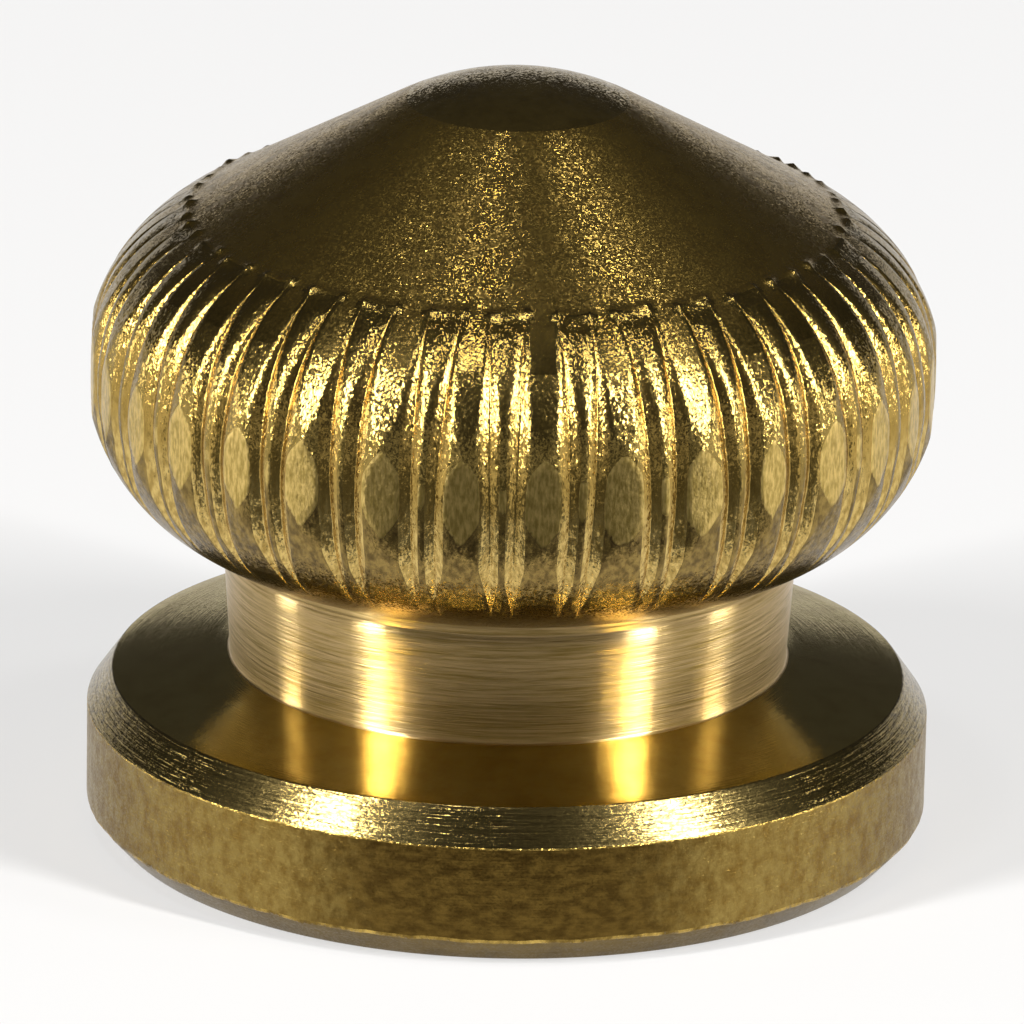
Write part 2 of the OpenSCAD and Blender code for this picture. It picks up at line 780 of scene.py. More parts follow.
@dataclass
class Knurl:
    """Pairs of grooves that a wheel pressed into the round edge of the head, in mm and degrees.

    Each pair has its own small errors of place, lean, depth and burr, as a pressed knurl has. Distances along a
    groove are counted round the section from the head's widest line.

    Attributes:
        ring_radius: Radius of the circle that the round edge's section is centred on.
        ring_height: Height of that circle.
        edge_radius: Radius of the round edge's section.
        count: Pairs of grooves round the head.
        first_angle: Angle round the axis at which the first pair lies.
        full_depth: Depth that the grooves would have at their middle.
        tip_offset: Distance of a groove's bottom from the middle of its pair.
        opening_angle: Angle at which each groove of a pair leans away from the other, upwards.
        sliver_w: Width of the top of the sliver between the two grooves.
        sliver_h: Height of that sliver.
        wall_w: Width of a groove's outer wall.
        wall_h: Height of a groove's outer wall.
        wall_reach: Most of the way to the middle of a land that a wall may take up.
        flank_angle: Slope from the outer wall to the land.
        runout_angle: Angle round the section from the middle of a groove to where its arc leaves the metal.
        drop_angle: Angle by which the grooves sit lower than the widest line.
        fade_start: Distance along a groove at which it starts to fade, upwards and downwards.
        fade_depth: Depth that it fades from.
        top_end: Distance along a groove to its upper end.
        top_fade: Power that shapes the upper fade.
        low_end: Distance along a groove to its lower end.
        low_fade: Power that shapes the lower fade.
        lip_h: Height of the lip thrown up at the upper end.
        lip_w: Width of that lip.
        lip_above: Reach of the lip above the end.
        lip_below: Reach of the lip below the end.
        least_w: Least width of a wall in the mesh.
        least_depth: Depth under which a groove has no walls.
        angle_error: Spread of the pairs' places, as a share of the pitch.
        lean_error: Spread of the pairs' lean for each mm of height, as a share of the pitch.
        tip_error: Spread of the grooves' distance from the middle of their pair, as a share of it.
        depth_error: Spread of the grooves' depth, as a share of it.
        lip_range: Least and greatest height of a lip, as shares of its mean.
        lip_error: Spread of the lips' places.
        end_error: Spread of the grooves' upper ends.
        seed: Seed of these errors.
    """

    ring_radius: float
    ring_height: float
    edge_radius: float
    count: int = 33
    first_angle: float = -3.8
    full_depth: float = 0.165
    tip_offset: float = 0.195
    opening_angle: float = 1.3
    sliver_w: float = 0.1
    sliver_h: float = 0.08
    wall_w: float = 0.16
    wall_h: float = 0.095
    wall_reach: float = 0.9
    flank_angle: float = 13.0
    runout_angle: float = 66.0
    drop_angle: float = 3.0
    fade_start: float = 0.65
    fade_depth: float = 0.155
    top_end: float = 2.94
    top_fade: float = 1.5
    low_end: float = 2.45
    low_fade: float = 1.6
    lip_h: float = 0.055
    lip_w: float = 0.07
    lip_above: float = 0.055
    lip_below: float = 0.12
    least_w: float = 0.02
    least_depth: float = 0.002
    angle_error: float = 0.018
    lean_error: float = 0.012
    tip_error: float = 0.07
    depth_error: float = 0.05
    lip_range: tuple[float, float] = (0.5, 1.3)
    lip_error: float = 0.025
    end_error: float = 0.035
    seed: int = 33

    # Columns of the mesh across a groove's inner or outer wall, as shares of its width from the bottom.
    # The narrow first step keeps the shaded line of the bottom thin.
    WALL_STEPS = (0.12, 0.55, 1.0)
    FLANK_STEPS = 4

    def __post_init__(self) -> None:
        """Set out the grooves and draw their errors."""
        bow = self.edge_radius * (1 - math.cos(math.radians(self.runout_angle)))
        shift = self.full_depth * (2 * self.edge_radius - self.full_depth) / (2 * (bow - self.full_depth))
        drop = math.radians(self.drop_angle)
        self.centre = (self.ring_radius - shift * math.cos(drop), self.ring_height + shift * math.sin(drop))
        self.sweep_radius = self.edge_radius - self.full_depth + shift
        self.inner_slope = self.sliver_h / (self.tip_offset - self.sliver_w / 2)
        self.outer_slope = self.wall_h / self.wall_w
        draw = np.random.default_rng(self.seed)
        pitch = 2 * math.pi / self.count
        self.angle = pitch * (np.arange(self.count) + draw.normal(0, self.angle_error, self.count))
        self.angle += math.radians(self.first_angle)
        self.lean = pitch * draw.normal(0, self.lean_error, self.count)
        self.tip = self.tip_offset * (1 + draw.normal(0, self.tip_error, self.count))
        self.deeper = draw.normal(0, self.depth_error, self.count)
        self.lip = self.lip_h * draw.uniform(*self.lip_range, (self.count, 2))
        self.lip_shift = draw.normal(0, self.lip_error, (self.count, 2))
        self.end = self.top_end + draw.normal(0, self.end_error, (self.count, 2))

    def columns(
        self, radius: float, height: float, along: float
    ) -> tuple[np.ndarray, np.ndarray, np.ndarray, np.ndarray]:
        """Set out mesh columns that follow the grooves.

        Args:
            radius: Distance of the unpressed surface from the axis.
            height: Height of the unpressed surface.
            along: Distance round the section from its widest line, positive upwards.

        Returns:
            Angle of each column, its offset in mm from its pair's middle, its pair's number, and whether it
            lies on a groove's two walls.
        """
        middle = self.angle + self.lean * (height - self.ring_height)
        gap = (np.roll(middle, -1) - middle) % (2 * math.pi) * radius / 2
        tip = self.tips(height)[:, None]
        depth = float(self.depth(radius, height, along, self.top_end))
        ahead = self._offsets(tip, gap, depth)
        behind = -self._offsets(tip, np.roll(gap, 1), depth)[:, -2:0:-1]
        offset = np.concatenate([behind, ahead], axis=1)
        angle = middle[:, None] + offset / radius
        pair = np.repeat(np.arange(self.count), offset.shape[1])
        # From a pair's middle outwards: one column on the sliver, both walls and the bottom, then the flank.
        wall = np.array([False] + [True] * (2 * len(self.WALL_STEPS) + 1) + [False] * self.FLANK_STEPS)
        wall &= depth > self.least_depth
        wall = np.tile(np.concatenate([wall[-2:0:-1], wall]), self.count)
        return angle.ravel(), offset.ravel(), pair, wall

    def depth(
        self, radius: float, height: float, along: float, top_end: float | np.ndarray
    ) -> np.ndarray:
        """Work out how deep the bottoms of the grooves lie, which fade towards both ends.

        Args:
            radius: Distance of the unpressed surface from the axis.
            height: Height of the unpressed surface.
            along: Distance round the section from its widest line, positive upwards.
            top_end: Such a distance at which a groove ends at the top.

        Returns:
            Depth in mm.
        """
        pressed = math.hypot(radius - self.centre[0], height - self.centre[1]) - self.sweep_radius
        top = np.maximum((top_end - along) / (self.top_end - self.fade_start), 0) ** self.top_fade
        low = np.maximum((self.low_end + along) / (self.low_end - self.fade_start), 0) ** self.low_fade
        return np.minimum(pressed, self.fade_depth * np.minimum(top, low))

    def tips(self, height: float) -> np.ndarray:
        """Set out how far the bottoms of the grooves lie from the middle of each pair.

        Args:
            height: Height on the axis, in mm.

        Returns:
            Offset of the bottoms in mm, for each pair.
        """
        return self.tip + (height - self.ring_height) * math.tan(math.radians(self.opening_angle))

    def _offsets(self, tip: np.ndarray, half: np.ndarray, depth: float) -> np.ndarray:
        """Space the columns from a pair's middle to the middle of a land.

        Args:
            tip: Offset of the bottoms of each pair's grooves, in mm.
            half: Half of the distance to the next pair, in mm.
            depth: Depth of the grooves, in mm.

        Returns:
            Offsets in mm, one row for each pair.
        """
        half, least = half[:, None], self.least_w
        room = np.minimum(self.wall_w, self.wall_reach * half - tip)
        inner_w = np.clip(depth / self.inner_slope, least, tip - self.sliver_w / 2)
        outer_w = np.clip(depth / self.outer_slope, least, room)
        steps, wall = np.array(self.WALL_STEPS), tip + outer_w
        middle = np.zeros_like(tip)
        inner = tip - inner_w * np.array([*steps[::-1], 0.0])
        outer = tip + outer_w * steps
        flank = wall + (half - wall) * np.linspace(0, 1, self.FLANK_STEPS + 1)[1:]
        return np.concatenate([middle, inner, outer, flank], axis=1)

    def sink(
        self, radius: float, height: float, along: float, offset: np.ndarray, pair: np.ndarray
    ) -> np.ndarray:
        """Work out how far the wheel sank or raised the metal.

        Args:
            radius: Distance of the unpressed surface from the axis.
            height: Height of the unpressed surface.
            along: Distance round the section from its widest line, positive upwards.
            offset: Distance of each column from its pair's middle.
            pair: Number of each column's pair.

        Returns:
            Depth at each column, in mm, negative where a lip stands proud.
        """
        side = (offset > 0).astype(int)
        beyond = along - self.end[pair, side]
        reach = self.depth(radius, height, along, self.end[pair, side]) * (1 + self.deeper[pair])
        away, tip = np.abs(offset), self.tips(height)[pair]
        section = np.where(
            away < tip,
            np.minimum((tip - away) * self.inner_slope, self.sliver_h),
            np.minimum((away - tip) * self.outer_slope, self.wall_h),
        )
        section += np.maximum(away - tip - self.wall_w, 0) * math.tan(math.radians(self.flank_angle))
        astride = (away - tip - self.lip_shift[pair, side]) / self.lip_w
        past = beyond - self.lip_above
        past = past / np.where(past > 0, self.lip_above, self.lip_below)
        lip = self.lip[pair, side] * np.exp(-(astride**2) - past**2)
        return np.maximum(reach - section, 0) - lip


@dataclass
class Knob:
    """The knob, turned from one piece of round bar, in mm and degrees.

    Attributes:
        flange_dia: Diameter of the bar and the flange.
        height: Height from the base to the tip of the nose.
        bore_dia: Diameter of the tapping drill.
        thread_dia: Outer diameter of the screw thread.
        thread_pitch: Pitch of the screw thread.
        thread_depth: Depth of the tapped hole.
        countersink_dia: Diameter of the countersink at the base.
        drill_angle: Angle of the drill's point.
        side_top: Height of the flange's upright side.
        chamfer: Width of the flange's two chamfers.
        base_chamfer_h: Height of the lower chamfer.
        rim_h: Height of the top of the upper chamfer.
        neck_foot: Radius and height of the foot of the neck.
        neck_head_dia: Diameter of the neck where it meets the head.
        edge_ring_dia: Diameter of the circle that the head's round edge is centred on.
        edge_h: Height of that circle.
        edge_radius: Radius of the round edge.
        skim_dia: Diameter that the pressed ridges were skimmed to.
        cone_angle: Slope of the cone.
        nose_radius: Radius of the nose.
        smooth_angle: Angle round the nose within which it was finished smooth.
        broken_edge: Radius that breaks the sharp corners.
        plain_depth: Depth under which the head counts as not pressed.
        crest_angle: Angle either side of the widest line within which all of it counts as pressed.
        crown_rows: Rows of mesh up the round edge, over the last of its arc, and on the cone just past it.
        dense_angle: Angle of that last part of the arc, where the grooves end and the rows lie closer.
        run_on: How far the knurl's own mesh runs on up the cone.
        cone_start: How far up the cone its plain mesh starts.
        cone_rows: Rows of mesh on the cone, and on the nose.
        mark_h: Height of the tool's ring mark at the top of the neck.
        mark_depth: Depth of that mark.
        mark_w: Width of that mark.
        tear_h: Height that the torn edge above the base wanders by.
        tear_waves: Waves round the edge that it wanders in.
        tear_seed: Seed of these waves.
        thread_rows: Rows of mesh for each turn of the thread.
        thread_flat: Flat at the thread's root and at its crest, as a share of half its pitch.
    """

    flange_dia: float
    height: float
    bore_dia: float
    thread_dia: float = 4.17
    thread_pitch: float = 0.794
    thread_depth: float = 6.5
    countersink_dia: float = 4.4
    drill_angle: float = 118.0
    side_top: float = 1.85
    chamfer: float = 0.37
    base_chamfer_h: float = 0.40
    rim_h: float = 2.37
    neck_foot: tuple[float, float] = (4.2, 2.69)
    neck_head_dia: float = 8.65
    edge_ring_dia: float = 7.5
    edge_h: float = 7.17
    edge_radius: float = 2.65
    skim_dia: float = 12.65
    cone_angle: float = 29.0
    nose_radius: float = 4.05
    smooth_angle: float = 25.0
    broken_edge: float = 0.045
    plain_depth: float = 0.003
    crest_angle: float = 40.0
    crown_rows: tuple[int, int, int] = (62, 13, 13)
    dense_angle: float = 11.0
    run_on: float = 0.6
    cone_start: float = 0.7
    cone_rows: tuple[int, int] = (9, 12)
    mark_h: float = 4.41
    mark_depth: float = 0.022
    mark_w: float = 0.05
    tear_h: float = 0.012
    tear_waves: tuple[int, ...] = (5, 13, 29, 47, 97)
    tear_seed: int = 12
    thread_rows: int = 8
    thread_flat: float = 0.1

    NODE = "knob"
    BODY = "root"
    SLOT = "turned_brass"
    # One in so many of the head's mesh columns runs on into the bore, the flange and the cone.
    BORE_STEP = 6
    FLANGE_STEP = 2
    CONE_STEP = 3

    @classmethod
    def from_frame(cls) -> "Knob":
        """Take the bar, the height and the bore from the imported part.

        Returns:
            The knob, with its other sizes at their own values.
        """
        low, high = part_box(cls.NODE)
        mounts = {mount["name"]: mount for mount in frame["record"]["mounts"]}
        return cls(
            flange_dia=(high.x - low.x) / MM,
            height=(high.z - low.z) / MM,
            bore_dia=2 * mounts["screw_thread"]["dims"]["r_mm"],
        )

    def build(self) -> bpy.types.Object:
        """Build the knob's closed mesh.

        Returns:
            The mesh object, in metres.
        """
        knurl = Knurl(self.edge_ring_dia / 2, self.edge_h, self.edge_radius)
        foot_angle = math.acos((self.neck_head_dia - self.edge_ring_dia) / 2 / self.edge_radius)
        crown = self._crown(knurl, foot_angle)
        below, above = (np.arctan2(ring.points[:, 1], ring.points[:, 0]) for ring in (crown[0], crown[-1]))
        rings = [
            *self._bore(below[:: self.BORE_STEP]),
            *self._flange_and_neck(below[:: self.FLANGE_STEP], foot_angle),
            *crown,
            *self._cone_and_nose(above[:: self.CONE_STEP]),
        ]
        point_rise = self.bore_dia / 2 / math.tan(math.radians(self.drill_angle / 2))
        return closed_mesh(
            "turned_knob", (0, 0, self.thread_depth + point_rise), rings, (0, 0, self.height)
        )

    def dress(self, piece: bpy.types.Object) -> None:
        """Give each zone of the skin its finish.

        Args:
            piece: The knob's mesh object.
        """
        for zone in Zone:
            piece.data.materials.append(FINISHES[zone].material())

    def _bore(self, angles: np.ndarray) -> list[Ring]:
        """Make the tapped hole, from the drill's point down to the countersink.

        Args:
            angles: Angles of the mesh columns.

        Returns:
            The rings, from the top down.
        """
        wall, root = self.bore_dia / 2, self.thread_dia / 2
        mouth = self.countersink_dia / 2 - wall
        rows = round(self.thread_rows * (self.thread_depth - mouth) / self.thread_pitch)
        rings = []
        for height in np.linspace(self.thread_depth, mouth, rows):
            turn = (height / self.thread_pitch - angles / (2 * math.pi)) % 1.0
            flank = 1 - np.abs(2 * turn - 1)
            cut = np.clip((flank - self.thread_flat) / (1 - 2 * self.thread_flat), 0, 1)
            ends = min(self.thread_depth - height, height - mouth) / (self.thread_pitch / 2)
            radius = wall + (root - wall) * cut * min(ends, 1.0)
            rings.append(self._ring(radius, height, angles, Zone.THREAD))
        rings.append(self._ring(wall + mouth, 0.0, angles, Zone.BASE))
        return rings

    def _flange_and_neck(self, angles: np.ndarray, foot_angle: float) -> list[Ring]:
        """Make the base, the flange and the neck, up to the head.

        Args:
            angles: Angles of the mesh columns.
            foot_angle: Angle down the head's round edge where the neck meets it.

        Returns:
            The rings, from the base to the top of the neck.
        """
        side, broken = self.flange_dia / 2, self.broken_edge
        inner = side - self.chamfer
        head_h = self.edge_h - self.edge_radius * math.sin(foot_angle)
        foot, head = Vector(self.neck_foot), Vector((self.neck_head_dia / 2, head_h))
        rise = (self.mark_h - foot.y) / (head.y - foot.y)
        mark, half = foot.lerp(head, rise), self.mark_w / 2
        outline = [
            Corner(self.countersink_dia / 2 + 2 * broken, 0.0, 0.0, 3, Zone.BASE),
            Corner(inner, 0.0, broken, 3, Zone.BASE_CHAMFER),
            Corner(side, self.base_chamfer_h, 2 * broken, 6, Zone.SIDE, Zone.EDGE),
            Corner(side, self.side_top, broken, 5, Zone.RIM, Zone.EDGE),
            Corner(inner, self.rim_h, broken, 7, Zone.FACE, Zone.RIM),
            Corner(foot.x, foot.y, broken, 7, Zone.NECK),
            Corner(mark.x, mark.y - half, 0.0, 1, Zone.NECK),
            Corner(mark.x - self.mark_depth, mark.y, 0.0, 1, Zone.NECK),
            Corner(mark.x, mark.y + half, 0.0, 2, Zone.NECK),
            Corner(head.x, head.y, 0.0, 0, Zone.NECK),
        ]
        draw = np.random.default_rng(self.tear_seed)
        waves = zip(self.tear_waves, draw.uniform(0, 2 * math.pi, len(self.tear_waves)))
        ragged = self.tear_h * sum(np.sin(count * angles + phase) for count, phase in waves) / 2
        rings = []
        for radius, height, zone in rounded(outline)[:-1]:
            near = math.exp(-(((height - self.base_chamfer_h) / (4 * broken)) ** 2))
            rings.append(self._ring(radius, height + near * ragged, angles, zone))
        return rings

    def _crown(self, knurl: Knurl, foot_angle: float) -> list[Ring]:
        """Make the round edge of the head, with the knurl pressed into it.

        Args:
            knurl: The knurl's grooves.
            foot_angle: Angle down the round edge where it starts.

        Returns:
            The rings, from the neck to just above the knurl.
        """
        slope_angle, skim = math.radians(90 - self.cone_angle), self.skim_dia / 2
        dense = slope_angle - math.radians(self.dense_angle)
        rows, end_rows, run_on_rows = self.crown_rows
        arc = np.concatenate(
            [np.linspace(-foot_angle, dense, rows)[:-1], np.linspace(dense, slope_angle, end_rows)]
        )
        run_on = np.linspace(0, self.run_on, run_on_rows)[1:]
        turns = np.concatenate([arc, np.full(len(run_on), slope_angle)])
        beyonds = np.concatenate([np.zeros(len(arc)), run_on])
        rings = []
        for angle, beyond in zip(turns, beyonds):
            out, up = math.cos(angle), math.sin(angle)
            radius = self.edge_ring_dia / 2 + self.edge_radius * out - beyond * up
            height = self.edge_h + self.edge_radius * up + beyond * out
            along = self.edge_radius * angle + beyond
            angles, offset, pair, wall = knurl.columns(radius, height, along)
            sink = knurl.sink(radius, height, along, offset, pair)
            pressed = radius - sink * out
            ring = self._ring(np.minimum(pressed, skim), height - sink * up, angles, Zone.CROWN)
            ring.marks = np.full(len(angles), Zone.CROWN, dtype=object)
            if abs(angle) > math.radians(self.crest_angle):
                ring.marks[np.abs(sink) < self.plain_depth] = Zone.CONE if up > 0 else Zone.UNDERSIDE
            ring.marks[wall] = Zone.GROOVE
            if along > knurl.top_end:
                ring.zone = Zone.CONE
            rings.append(ring)
        return rings

    def _cone_and_nose(self, angles: np.ndarray) -> list[Ring]:
        """Make the cone and the nose of the head.

        Args:
            angles: Angles of the mesh columns.

        Returns:
            The rings, from above the knurl to just under the tip.
        """
        slope = math.radians(self.cone_angle)
        nose_h = self.height - self.nose_radius
        out, up = math.sin(slope), math.cos(slope)
        foot_r = self.edge_ring_dia / 2 + self.edge_radius * out - self.cone_start * up
        foot_h = self.edge_h + self.edge_radius * up + self.cone_start * out
        foot = Vector((foot_r, foot_h))
        top = Vector((self.nose_radius * out, nose_h + self.nose_radius * up))
        rows, nose_rows = self.cone_rows
        places = [(foot.lerp(top, share), Zone.CONE) for share in np.linspace(0, 1, rows + 1)[:-1]]
        for angle in np.linspace(slope, 0, nose_rows + 1)[:-1]:
            place = Vector((math.sin(angle), math.cos(angle))) * self.nose_radius
            zone = Zone.NOSE if angle < math.radians(self.smooth_angle) else Zone.CONE
            places.append((place + Vector((0, nose_h)), zone))
        return [self._ring(place.x, place.y, angles, zone) for place, zone in places]

    @staticmethod
    def _ring(
        radius: float | np.ndarray, height: float | np.ndarray, angles: np.ndarray, zone: Zone
    ) -> Ring:
        """Make one ring of points.

        Args:
            radius: Distance from the axis, for all points or for each.
            height: Height above the base, for all points or for each.
            angles: Angle of each point.
            zone: Finish of the band above the ring.

        Returns:
            The ring.
        """
        x, y = radius * np.cos(angles), radius * np.sin(angles)
        return Ring(np.stack([x, y, np.broadcast_to(height, angles.shape)], axis=1), zone)


# Rows of mesh in the arc that breaks a corner
ARC_ROWS = 4


def rounded(outline: list[Corner]) -> list[tuple[float, float, Zone]]:
    """Break the corners of an outline with small arcs and fill the runs between them with rows.

    Args:
        outline: The corners, in order.

    Returns:
        Radius, height and zone of each row, with the last corner at the end.
    """
    arcs = []
    for index, corner in enumerate(outline):
        place = corner.place()
        if not corner.blend:
            arcs.append([place])
            continue
        back = (outline[index - 1].place() - place).normalized()
        ahead = (outline[index + 1].place() - place).normalized()
        half = back.angle(ahead) / 2
        centre = place + (back + ahead).normalized() * corner.blend / math.sin(half)
        start = place + back * corner.blend / math.tan(half) - centre
        turn = (math.pi - 2 * half) * (1 if back.x * ahead.y - back.y * ahead.x < 0 else -1)
        spins = [Matrix.Rotation(turn * share, 2) for share in np.linspace(0, 1, ARC_ROWS)]
        arcs.append([centre + spin @ start for spin in spins])
    rows = []
    for corner, arc, after in zip(outline, arcs, [*arcs[1:], None]):
        rows += [(place.x, place.y, corner.edge or corner.zone) for place in arc[:-1]]
        if after is None:
            rows.append((arc[-1].x, arc[-1].y, corner.zone))
            break
        for share in np.linspace(0, 1, corner.rows + 1)[:-1]:
            place = arc[-1].lerp(after[0], share)
            rows.append((place.x, place.y, corner.zone))
    return rows


def band(first: int, first_count: int, second: int, second_count: int) -> list[tuple[int, ...]]:
    """Join two rings of points, of which one may have a whole multiple of the other's points.

    Args:
        first: Number of the first ring's first point.
        first_count: Points in the first ring.
        second: Number of the second ring's first point.
        second_count: Points in the second ring.

    Returns:
        The faces, facing out where the second ring is above the first.
    """
    if first_count == second_count:
        steps = ((i, (i + 1) % first_count) for i in range(first_count))
        return [(first + i, first + j, second + j, second + i) for i, j in steps]
    flip = first_count < second_count
    fine, fine_count, coarse, coarse_count = (
        (second, second_count, first, first_count) if flip else (first, first_count, second, second_count)
    )
    many = fine_count // coarse_count
    faces = []
    for i in range(coarse_count):
        near, far = coarse + i, coarse + (i + 1) % coarse_count
        run = [fine + (i * many + k) % fine_count for k in range(many + 1)]
        middle = many // 2
        faces += [(run[k], run[k + 1], near if k < middle else far) for k in range(many)]
        faces.append((run[middle], far, near))
    return [face[::-1] for face in faces] if flip else faces


def closed_mesh(
    name: str, start: tuple[float, float, float], rings: list[Ring], end: tuple[float, float, float]
) -> bpy.types.Object:
    """Join rings of points into one closed, smooth-shaded mesh.

    Args:
        name: Name of the object.
        start: Point that closes the skin before the first ring, in mm.
        rings: The rings, in order along the outline.
        end: Point that closes the skin after the last ring, in mm.

    Returns:
        The mesh object, linked to the scene, in metres.
    """
    points = np.concatenate([[start], *[ring.points for ring in rings], [end]]) * MM
    order = list(Zone)
    faces: list[tuple[int, ...]] = []
    zones: list[int] = []
    base, count = 1, len(rings[0].points)
    faces += [(0, base + (i + 1) % count, base + i) for i in range(count)]
    zones += [order.index(rings[0].zone)] * count
    for ring, after in zip(rings, rings[1:]):
        count = len(ring.points)
        made = band(base, count, base + count, len(after.points))
        faces += made
        face_zones = np.full(len(made), order.index(ring.zone))
        if ring.marks is not None and after.marks is not None:
            agreed = (ring.marks == np.roll(ring.marks, -1)) & (after.marks == np.roll(after.marks, -1))
            agreed &= ring.marks == after.marks
            face_zones[agreed] = [order.index(mark) for mark in ring.marks[agreed]]
        zones += face_zones.tolist()
        base += count
    count = len(rings[-1].points)
    faces += [(base + i, base + (i + 1) % count, base + count) for i in range(count)]
    zones += [order.index(rings[-1].zone)] * count
    mesh = bpy.data.meshes.new(name)
    mesh.from_pydata(points.tolist(), [], faces)
    mesh.polygons.foreach_set("material_index", zones)
    mesh.polygons.foreach_set("use_smooth", [True] * len(faces))
    mesh.update()
    piece = bpy.data.objects.new(name, mesh)
    bpy.context.scene.collection.objects.link(piece)
    return piece


@dataclass(frozen=True)
class Lamp:
    """A plain rectangular softbox that faces the knob.

    Attributes:
        name: Name of the lamp.
        azimuth: Angle round the knob from the camera's side, positive to the right.
        elevation: Angle above the floor.
        width: Width, in mm.
        height: Height, in mm.
        radiance: Brightness of its face, where 1 is a white surface.
        distance: Distance from the knob, in mm.
    """

    name: str
    azimuth: float
    elevation: float
    width: float
    height: float
    radiance: float
    distance: float = 380.0

    def build(self, target: Vector) -> None:
        """Hang the lamp, with its face to the knob.

        Args:
            target: Point that the lamp faces, in metres.
        """
        around, up = math.radians(self.azimuth), math.radians(self.elevation)
        towards = Vector((math.sin(around) * math.cos(up), -math.cos(around) * math.cos(up), math.sin(up)))
        data = bpy.data.lights.new(self.name, "AREA")
        data.shape = "RECTANGLE"
        data.size, data.size_y = self.width * MM, self.height * MM
        # A rectangle's face is as bright as its power over four times its area.
        data.energy = self.radiance * 4 * data.size * data.size_y
        lamp = bpy.data.objects.new(self.name, data)
        lamp.location = target + towards * self.distance * MM
        lamp.rotation_euler = towards.to_track_quat("Z", "Y").to_euler()
        lamp.visible_camera = False
        bpy.context.scene.collection.objects.link(lamp)


@dataclass
class Studio:
    """Pale floor with a low cove, a dark cloth, softboxes and the camera, in mm and degrees.

    Attributes:
        target_h: Height on the axis that the camera looks at.
        elevation: Angle of the camera above the floor.
        distance: Distance of the camera from that point.
        roll: Turn of the camera about its own line of sight.
        sideways: Shift of the camera to its right.
        lens: Focal length.
        sensor: Width of the camera's sensor.
        sight: Least and greatest distance that the camera sees.
        floor_hole: Radius of the hole in the floor under the base, which leaves the base open from below.
        floor_radius: Radius of the floor where the cove starts.
        cove_radius: Radius of the cove.
        wall_h: Height of the low wall.
        paper: Colour of the floor and the wall.
        glow: Brightness that they show of themselves, as a lit white sweep does.
        felt: Colour of the cloth.
        cloth_lift: Height of the cloth over the floor.
        cloth_edge: Distances in front of the axis between which the cloth begins.
        cloth_spread: Angles from the front between which the cloth ends on either side.
        sky: Brightness of the dim room above the floor.
        cellar: Brightness under the floor, which only the base sees.
        horizon: Slopes of the line of sight between which the one gives way to the other.
        lamps: The softboxes.
    """

    target_h: float = 4.859
    elevation: float = 19.08
    distance: float = 158.1
    roll: float = 1.0755
    sideways: float = 0.0226
    lens: float = 369.6
    sensor: float = 36.0
    sight: tuple[float, float] = (10.0, 5000.0)
    floor_hole: float = 5.9
    floor_radius: float = 520.0
    cove_radius: float = 60.0
    wall_h: float = 110.0
    paper: str = "#939291"
    glow: float = 0.5
    felt: str = "#4D4D4B"
    cloth_lift: float = 0.05
    cloth_edge: tuple[float, float] = (9.2, 12.5)
    cloth_spread: tuple[float, float] = (42.0, 50.0)
    sky: float = 0.05
    cellar: float = 0.6
    horizon: tuple[float, float] = (-0.1, 0.0)
    # Name, azimuth, elevation, width, height and brightness of each
    lamps: tuple[Lamp, ...] = (
        Lamp("left_softbox", -56, 32, 22, 290, 76.0),
        Lamp("right_softbox", 56, 33, 22, 290, 78.0),
        Lamp("far_left_softbox", -96, 6, 55, 78, 12.0),
        Lamp("far_right_softbox", 91, 6, 60, 78, 13.0),
        Lamp("high_left_softbox", -34, 74, 36, 36, 30.0),
        Lamp("high_right_softbox", 73, 66, 36, 36, 26.0),
    )

    # Steps of the sheets' mesh up the cove, in degrees, and lines of points round the axis
    COVE_STEPS = range(0, 91, 10)
    COLUMNS = 97

    def build(self) -> None:
        """Set up the floor, the cloth, the room, the lamps and the camera."""
        self._sheet("floor", 0.0, self.floor_hole, 180.0, self._paper())
        cloth = self._sheet(
            "cloth", self.cloth_lift, self.cloth_edge[0], self.cloth_spread[1], self._felt()
        )
        # Like the softboxes, the cloth is seen only in the metal.
        cloth.visible_camera = cloth.visible_diffuse = cloth.visible_shadow = False
        self._room()
        target = Vector((0, 0, self.target_h * MM))
        for lamp in self.lamps:
            lamp.build(target)
        self._camera(target)
        bpy.context.scene.view_settings.view_transform = "Standard"

    def _sheet(
        self, name: str, lift: float, inner: float, spread: float, material: bpy.types.Material
    ) -> bpy.types.Object:
        """Lay a sheet round the knob that runs up a low cove.

        Args:
            name: Name of the sheet.
            lift: Height that it is lifted by.
            inner: Radius of its inner edge.
            spread: Angle from the front to either of its ends.
            material: Its material.

        Returns:
            The sheet.
        """
        bend = [math.radians(angle) for angle in self.COVE_STEPS]
        radii = [self.floor_radius + (self.cove_radius - lift) * math.sin(angle) for angle in bend]
        heights = [self.cove_radius - (self.cove_radius - lift) * math.cos(angle) for angle in bend]
        section = [(inner, lift), *zip(radii, heights), (radii[-1], self.wall_h)]
        # The front lies at -90 degrees from +X.
        angles = np.radians(np.linspace(-90 - spread, -90 + spread, self.COLUMNS))
        count = len(angles)
        points, faces = [], []
        for radius, height in section:
            points += [(radius * math.cos(a) * MM, radius * math.sin(a) * MM, height * MM) for a in angles]
        for base in range(0, len(points) - count, count):
            row = range(base, base + count - 1)
            faces += [(i, i + count, i + count + 1, i + 1) for i in row]
        mesh = bpy.data.meshes.new(name)
        mesh.from_pydata(points, [], faces)
        mesh.polygons.foreach_set("use_smooth", [True] * len(faces))
        mesh.materials.append(material)
        sheet = bpy.data.objects.new(name, mesh)
        bpy.context.scene.collection.objects.link(sheet)
        return sheet

    def _paper(self) -> bpy.types.Material:
        """Build the floor's matt white paper.

        Returns:
            The material. It is open from below, so that the base can be looked at.
        """
